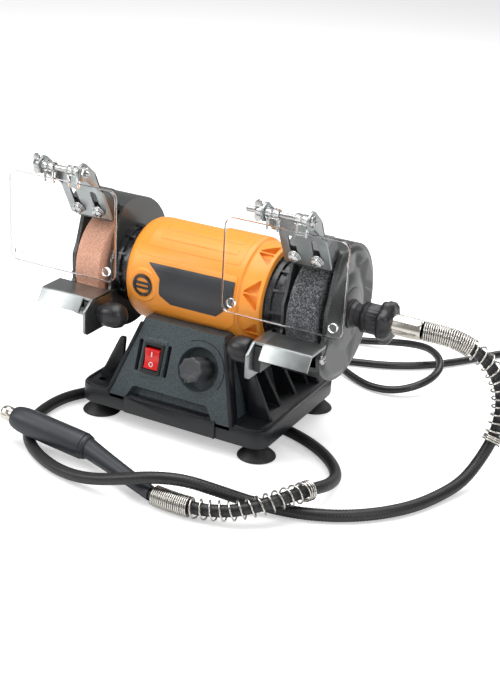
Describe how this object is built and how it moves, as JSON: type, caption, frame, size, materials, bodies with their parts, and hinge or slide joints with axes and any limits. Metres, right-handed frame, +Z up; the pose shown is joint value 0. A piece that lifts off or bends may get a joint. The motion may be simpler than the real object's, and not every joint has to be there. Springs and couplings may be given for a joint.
{
  "type": "bench grinder",
  "caption": "Small bench grinder with fine and coarse wheels, guards, tool rests, tilting eye shields, speed dial, and a flexible shaft driving a pen-shaped handpiece.",
  "frame": {"origin": "on the floor, under the middle of the machine and its handpiece (their bounding box without the cords)", "axes": "+X along the spindle towards the flexible shaft, -Y towards the switch panel, +Z up"},
  "size_m": [0.3964, 0.4368, 0.1894],
  "materials": {
    "base_black": "fine-textured",
    "orange_body": "satin",
    "hub_black": "satin",
    "guard_grey": "satin",
    "stone_left": "fine abrasive grain",
    "stone_right": "coarse abrasive grain",
    "zinc": "satin zinc plate",
    "steel": "machined",
    "screw_steel": "bright",
    "clear": "clear",
    "knob_black": "satin",
    "dial_grey": "satin",
    "switch_red": "glossy",
    "switch_black": "matt",
    "rubber_black": "matt",
    "lead_black": "glossy",
    "sheath_black": "ribbed",
    "copper": "bright",
    "brass": "bright",
    "carbon": "matt",
    "laminations": "matt",
    "board_green": "satin",
    "slate_grip": "satin",
    "nickel": "bright"
  },
  "bodies": {
    "frame": {"base_housing": "base_black", "bottom_plate": "base_black", "suction_feet": "rubber_black", "control_board": "board_green", "switch_frame": "switch_black", "potentiometer": "hub_black", "motor_housing": "orange_body", "end_bracket_left": "hub_black", "end_bracket_right": "hub_black", "stator_core": "laminations", "field_coils": "copper", "brush_holders": "brass", "carbon_brushes": "carbon", "brush_caps": "hub_black", "bearing_outer_rings": "steel", "guard_left": "guard_grey", "guard_right": "guard_grey", "guard_cover_left": "guard_grey", "guard_cover_right": "guard_grey", "cover_screws": "screw_steel", "bracket_screws": "screw_steel", "coupling_spigot": "knob_black", "coupling_ferrule": "nickel", "flex_sheath": "sheath_black", "bend_springs": "steel", "handpiece_grip": "slate_grip", "handpiece_boot": "rubber_black", "cord_gland": "rubber_black", "mains_lead": "lead_black", "lead_tail": "lead_black", "lead_coil": "lead_black", "plug_body": "lead_black", "plug_pins": "nickel"},
    "spindle": {"spindle_shaft": "steel", "armature_core": "laminations", "armature_windings": "copper", "commutator": "copper", "cooling_fan": "hub_black", "bearing_inner_rings": "steel", "wheel_left": "stone_left", "wheel_right": "stone_right", "wheel_flanges": "zinc", "spindle_nuts": "zinc"},
    "handpiece_rotor": {"handpiece_spindle": "steel", "collet_nut": "nickel"},
    "rocker": {"rocker": "switch_red"},
    "speed_knob": {"speed_knob": "dial_grey"},
    "coupling_nut": {"coupling_nut": "knob_black"},
    "tool_rest_left": {"tool_rest_left": "zinc"},
    "tool_rest_right": {"tool_rest_right": "zinc"},
    "rest_knob_left": {"rest_knob_left": "knob_black"},
    "rest_knob_right": {"rest_knob_right": "knob_black"},
    "shield_bracket_left": {"shield_bracket_left": "zinc", "hinge_nut_left": "screw_steel"},
    "shield_bracket_right": {"shield_bracket_right": "zinc", "hinge_bolt_right": "screw_steel"},
    "wing_bolt_left": {"wing_bolt_left": "screw_steel"},
    "wing_nut_right": {"wing_nut_right": "screw_steel"},
    "eye_shield_left": {"eye_shield_left": "clear"},
    "eye_shield_right": {"eye_shield_right": "clear"}
  },
  "joints": [
    {"name": "spindle_spin", "type": "hinge", "parent": "frame", "child": "spindle", "pos_m": [0, 0.04348, 0.1006], "axis": [1, 0, 0], "continuous": true},
    {"name": "handpiece_spin", "type": "hinge", "parent": "frame", "child": "handpiece_rotor", "pos_m": [-0.024, -0.07782, 0.0126], "axis": [-0.9942, 0, 0.108], "continuous": true},
    {"name": "rocker_tilt", "type": "hinge", "parent": "frame", "child": "rocker", "pos_m": [-0.0192, -0.00428, 0.05321], "axis": [1, 0, 0], "range_deg": [-20, 0]},
    {"name": "speed_turn", "type": "hinge", "parent": "frame", "child": "speed_knob", "pos_m": [0.017, -0.00639, 0.05433], "axis": [0, -0.9469, 0.3214], "range_deg": [-280, 0]},
    {"name": "coupling_nut_turn", "type": "hinge", "parent": "frame", "child": "coupling_nut", "pos_m": [0.127, 0.04348, 0.1006], "axis": [1, 0, 0], "range_deg": [0, 360]},
    {"name": "rest_slide_left", "type": "slide", "parent": "frame", "child": "tool_rest_left", "axis": [0, -1, 0], "range_m": [0, 0.0075]},
    {"name": "rest_knob_turn_left", "type": "hinge", "parent": "frame", "child": "rest_knob_left", "pos_m": [-0.063, -0.00852, 0.079], "axis": [1, 0, 0], "range_deg": [0, 360]},
    {"name": "bracket_slide_left", "type": "slide", "parent": "frame", "child": "shield_bracket_left", "axis": [0, -0.4695, 0.8829], "range_m": [-0.008, 0]},
    {"name": "shield_tilt_left", "type": "hinge", "parent": "shield_bracket_left", "child": "eye_shield_left", "pos_m": [-0.0849, -0.02255, 0.182], "axis": [1, 0, 0], "range_deg": [-100, 0]},
    {"name": "rest_slide_right", "type": "slide", "parent": "frame", "child": "tool_rest_right", "axis": [0, -1, 0], "range_m": [0, 0.0075]},
    {"name": "rest_knob_turn_right", "type": "hinge", "parent": "frame", "child": "rest_knob_right", "pos_m": [0.063, -0.00852, 0.079], "axis": [1, 0, 0], "range_deg": [0, 360]},
    {"name": "bracket_slide_right", "type": "slide", "parent": "frame", "child": "shield_bracket_right", "axis": [0, -0.4695, 0.8829], "range_m": [-0.008, 0]},
    {"name": "shield_tilt_right", "type": "hinge", "parent": "shield_bracket_right", "child": "eye_shield_right", "pos_m": [0.0849, -0.02255, 0.182], "axis": [1, 0, 0], "range_deg": [-100, 0]},
    {"name": "wing_bolt_turn_left", "type": "hinge", "parent": "shield_bracket_left", "child": "wing_bolt_left", "pos_m": [-0.0849, -0.02255, 0.182], "axis": [1, 0, 0], "range_deg": [0, 360]},
    {"name": "wing_nut_turn_right", "type": "hinge", "parent": "shield_bracket_right", "child": "wing_nut_right", "pos_m": [0.0849, -0.02255, 0.182], "axis": [1, 0, 0], "range_deg": [0, 360]}
  ],
  "couplings": [
    {"joint": "handpiece_spin", "follows": "spindle_spin", "ratio": 1}
  ]
}
